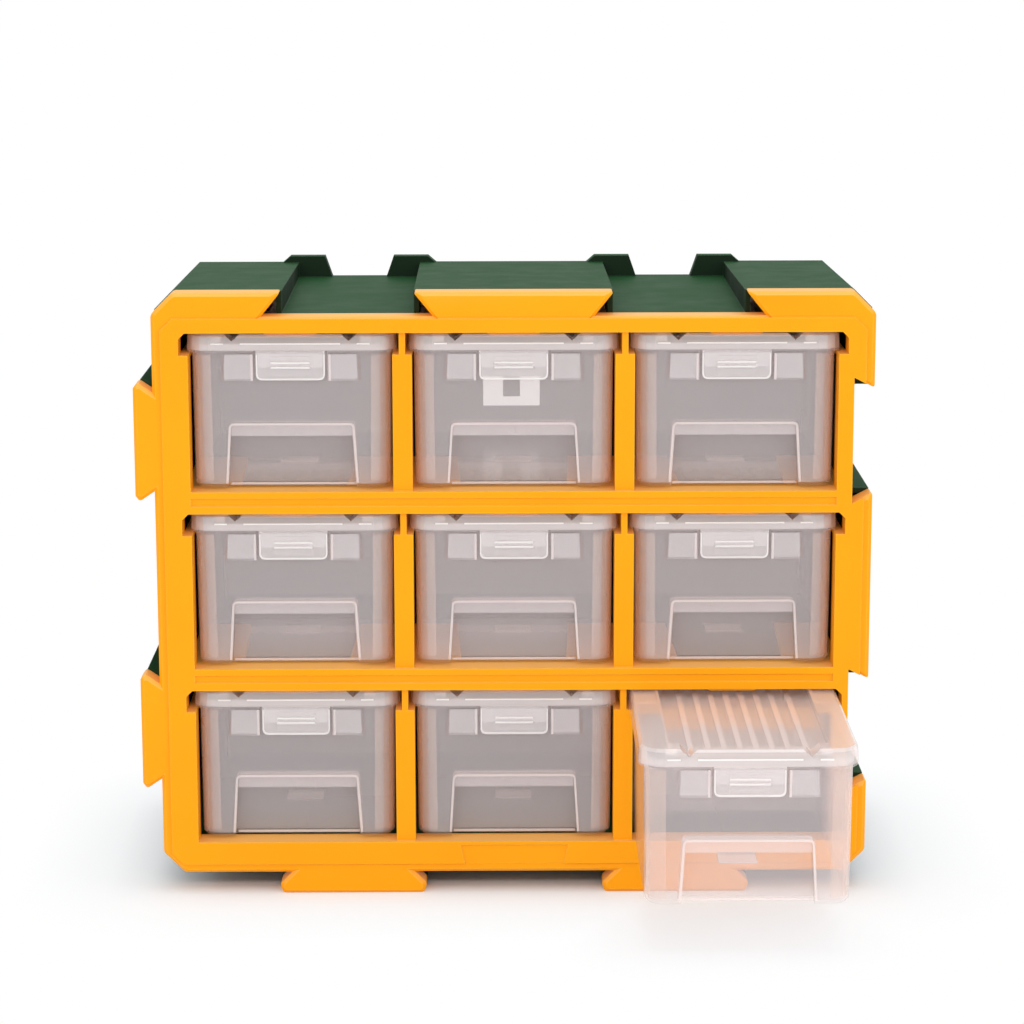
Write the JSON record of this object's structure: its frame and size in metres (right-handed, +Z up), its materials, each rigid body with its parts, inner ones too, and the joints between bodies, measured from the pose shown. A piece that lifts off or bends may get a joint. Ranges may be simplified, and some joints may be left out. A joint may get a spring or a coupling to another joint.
{
  "type": "parts storage cabinet",
  "caption": "Low, wide moulded parts cabinet with sliding clear snap-lid drawers in a grid, dovetail feet and grooves that link it to others, and one drawer pulled out.",
  "frame": {"origin": "on the floor, under the middle of the cabinet's width and depth", "axes": "+Z up, the drawers face -Y and open towards it, +X to the right seen from the front"},
  "size_m": [0.3089, 0.2291, 0.2597],
  "materials": {
    "frame_plastic": "satin moulded plastic",
    "housing_plastic": "fine-textured moulded plastic",
    "clear_plastic": "frosted translucent plastic"
  },
  "bodies": {
    "cabinet": {"front_frame": "frame_plastic", "rear_housing": "housing_plastic", "divider_1": "frame_plastic", "divider_2": "frame_plastic", "shelf_1": "frame_plastic", "shelf_2": "frame_plastic"},
    "drawer_r1c1": {"drawer_box_r1c1": "clear_plastic", "drawer_lid_r1c1": "clear_plastic"},
    "latch_r1c1": {"drawer_latch_r1c1": "clear_plastic"},
    "drawer_r1c2": {"drawer_box_r1c2": "clear_plastic", "drawer_lid_r1c2": "clear_plastic"},
    "latch_r1c2": {"drawer_latch_r1c2": "clear_plastic"},
    "drawer_r1c3": {"drawer_box_r1c3": "clear_plastic", "drawer_lid_r1c3": "clear_plastic"},
    "latch_r1c3": {"drawer_latch_r1c3": "clear_plastic"},
    "drawer_r2c1": {"drawer_box_r2c1": "clear_plastic", "drawer_lid_r2c1": "clear_plastic"},
    "latch_r2c1": {"drawer_latch_r2c1": "clear_plastic"},
    "drawer_r2c2": {"drawer_box_r2c2": "clear_plastic", "drawer_lid_r2c2": "clear_plastic"},
    "latch_r2c2": {"drawer_latch_r2c2": "clear_plastic"},
    "drawer_r2c3": {"drawer_box_r2c3": "clear_plastic", "drawer_lid_r2c3": "clear_plastic"},
    "latch_r2c3": {"drawer_latch_r2c3": "clear_plastic"},
    "drawer_r3c1": {"drawer_box_r3c1": "clear_plastic", "drawer_lid_r3c1": "clear_plastic"},
    "latch_r3c1": {"drawer_latch_r3c1": "clear_plastic"},
    "drawer_r3c2": {"drawer_box_r3c2": "clear_plastic", "drawer_lid_r3c2": "clear_plastic"},
    "latch_r3c2": {"drawer_latch_r3c2": "clear_plastic"},
    "drawer_r3c3": {"drawer_box_r3c3": "clear_plastic", "drawer_lid_r3c3": "clear_plastic"},
    "latch_r3c3": {"drawer_latch_r3c3": "clear_plastic"}
  },
  "joints": [
    {"name": "drawer_slide_r1c1", "type": "slide", "parent": "cabinet", "child": "drawer_r1c1", "axis": [0, -1, 0], "range_m": [0, 0.1102]},
    {"name": "latch_hinge_r1c1", "type": "hinge", "parent": "drawer_r1c1", "child": "latch_r1c1", "pos_m": [-0.0928, -0.06565, 0.23445], "axis": [-1, 0, 0], "range_deg": [0, 95]},
    {"name": "drawer_slide_r1c2", "type": "slide", "parent": "cabinet", "child": "drawer_r1c2", "axis": [0, -1, 0], "range_m": [0, 0.1102]},
    {"name": "latch_hinge_r1c2", "type": "hinge", "parent": "drawer_r1c2", "child": "latch_r1c2", "pos_m": [0, -0.06565, 0.23445], "axis": [-1, 0, 0], "range_deg": [0, 95]},
    {"name": "drawer_slide_r1c3", "type": "slide", "parent": "cabinet", "child": "drawer_r1c3", "axis": [0, -1, 0], "range_m": [0, 0.1102]},
    {"name": "latch_hinge_r1c3", "type": "hinge", "parent": "drawer_r1c3", "child": "latch_r1c3", "pos_m": [0.0928, -0.06565, 0.23445], "axis": [-1, 0, 0], "range_deg": [0, 95]},
    {"name": "drawer_slide_r2c1", "type": "slide", "parent": "cabinet", "child": "drawer_r2c1", "axis": [0, -1, 0], "range_m": [0, 0.1102]},
    {"name": "latch_hinge_r2c1", "type": "hinge", "parent": "drawer_r2c1", "child": "latch_r2c1", "pos_m": [-0.0928, -0.06565, 0.15805], "axis": [-1, 0, 0], "range_deg": [0, 95]},
    {"name": "drawer_slide_r2c2", "type": "slide", "parent": "cabinet", "child": "drawer_r2c2", "axis": [0, -1, 0], "range_m": [0, 0.1102]},
    {"name": "latch_hinge_r2c2", "type": "hinge", "parent": "drawer_r2c2", "child": "latch_r2c2", "pos_m": [0, -0.06565, 0.15805], "axis": [-1, 0, 0], "range_deg": [0, 95]},
    {"name": "drawer_slide_r2c3", "type": "slide", "parent": "cabinet", "child": "drawer_r2c3", "axis": [0, -1, 0], "range_m": [0, 0.1102]},
    {"name": "latch_hinge_r2c3", "type": "hinge", "parent": "drawer_r2c3", "child": "latch_r2c3", "pos_m": [0.0928, -0.06565, 0.15805], "axis": [-1, 0, 0], "range_deg": [0, 95]},
    {"name": "drawer_slide_r3c1", "type": "slide", "parent": "cabinet", "child": "drawer_r3c1", "axis": [0, -1, 0], "range_m": [0, 0.1102]},
    {"name": "latch_hinge_r3c1", "type": "hinge", "parent": "drawer_r3c1", "child": "latch_r3c1", "pos_m": [-0.0928, -0.06565, 0.08165], "axis": [-1, 0, 0], "range_deg": [0, 95]},
    {"name": "drawer_slide_r3c2", "type": "slide", "parent": "cabinet", "child": "drawer_r3c2", "axis": [0, -1, 0], "range_m": [0, 0.1102]},
    {"name": "latch_hinge_r3c2", "type": "hinge", "parent": "drawer_r3c2", "child": "latch_r3c2", "pos_m": [0, -0.06565, 0.08165], "axis": [-1, 0, 0], "range_deg": [0, 95]},
    {"name": "drawer_slide_r3c3", "type": "slide", "parent": "cabinet", "child": "drawer_r3c3", "axis": [0, -1, 0], "range_m": [-0.093, 0.0172]},
    {"name": "latch_hinge_r3c3", "type": "hinge", "parent": "drawer_r3c3", "child": "latch_r3c3", "pos_m": [0.0928, -0.15865, 0.08165], "axis": [-1, 0, 0], "range_deg": [0, 95]}
  ]
}
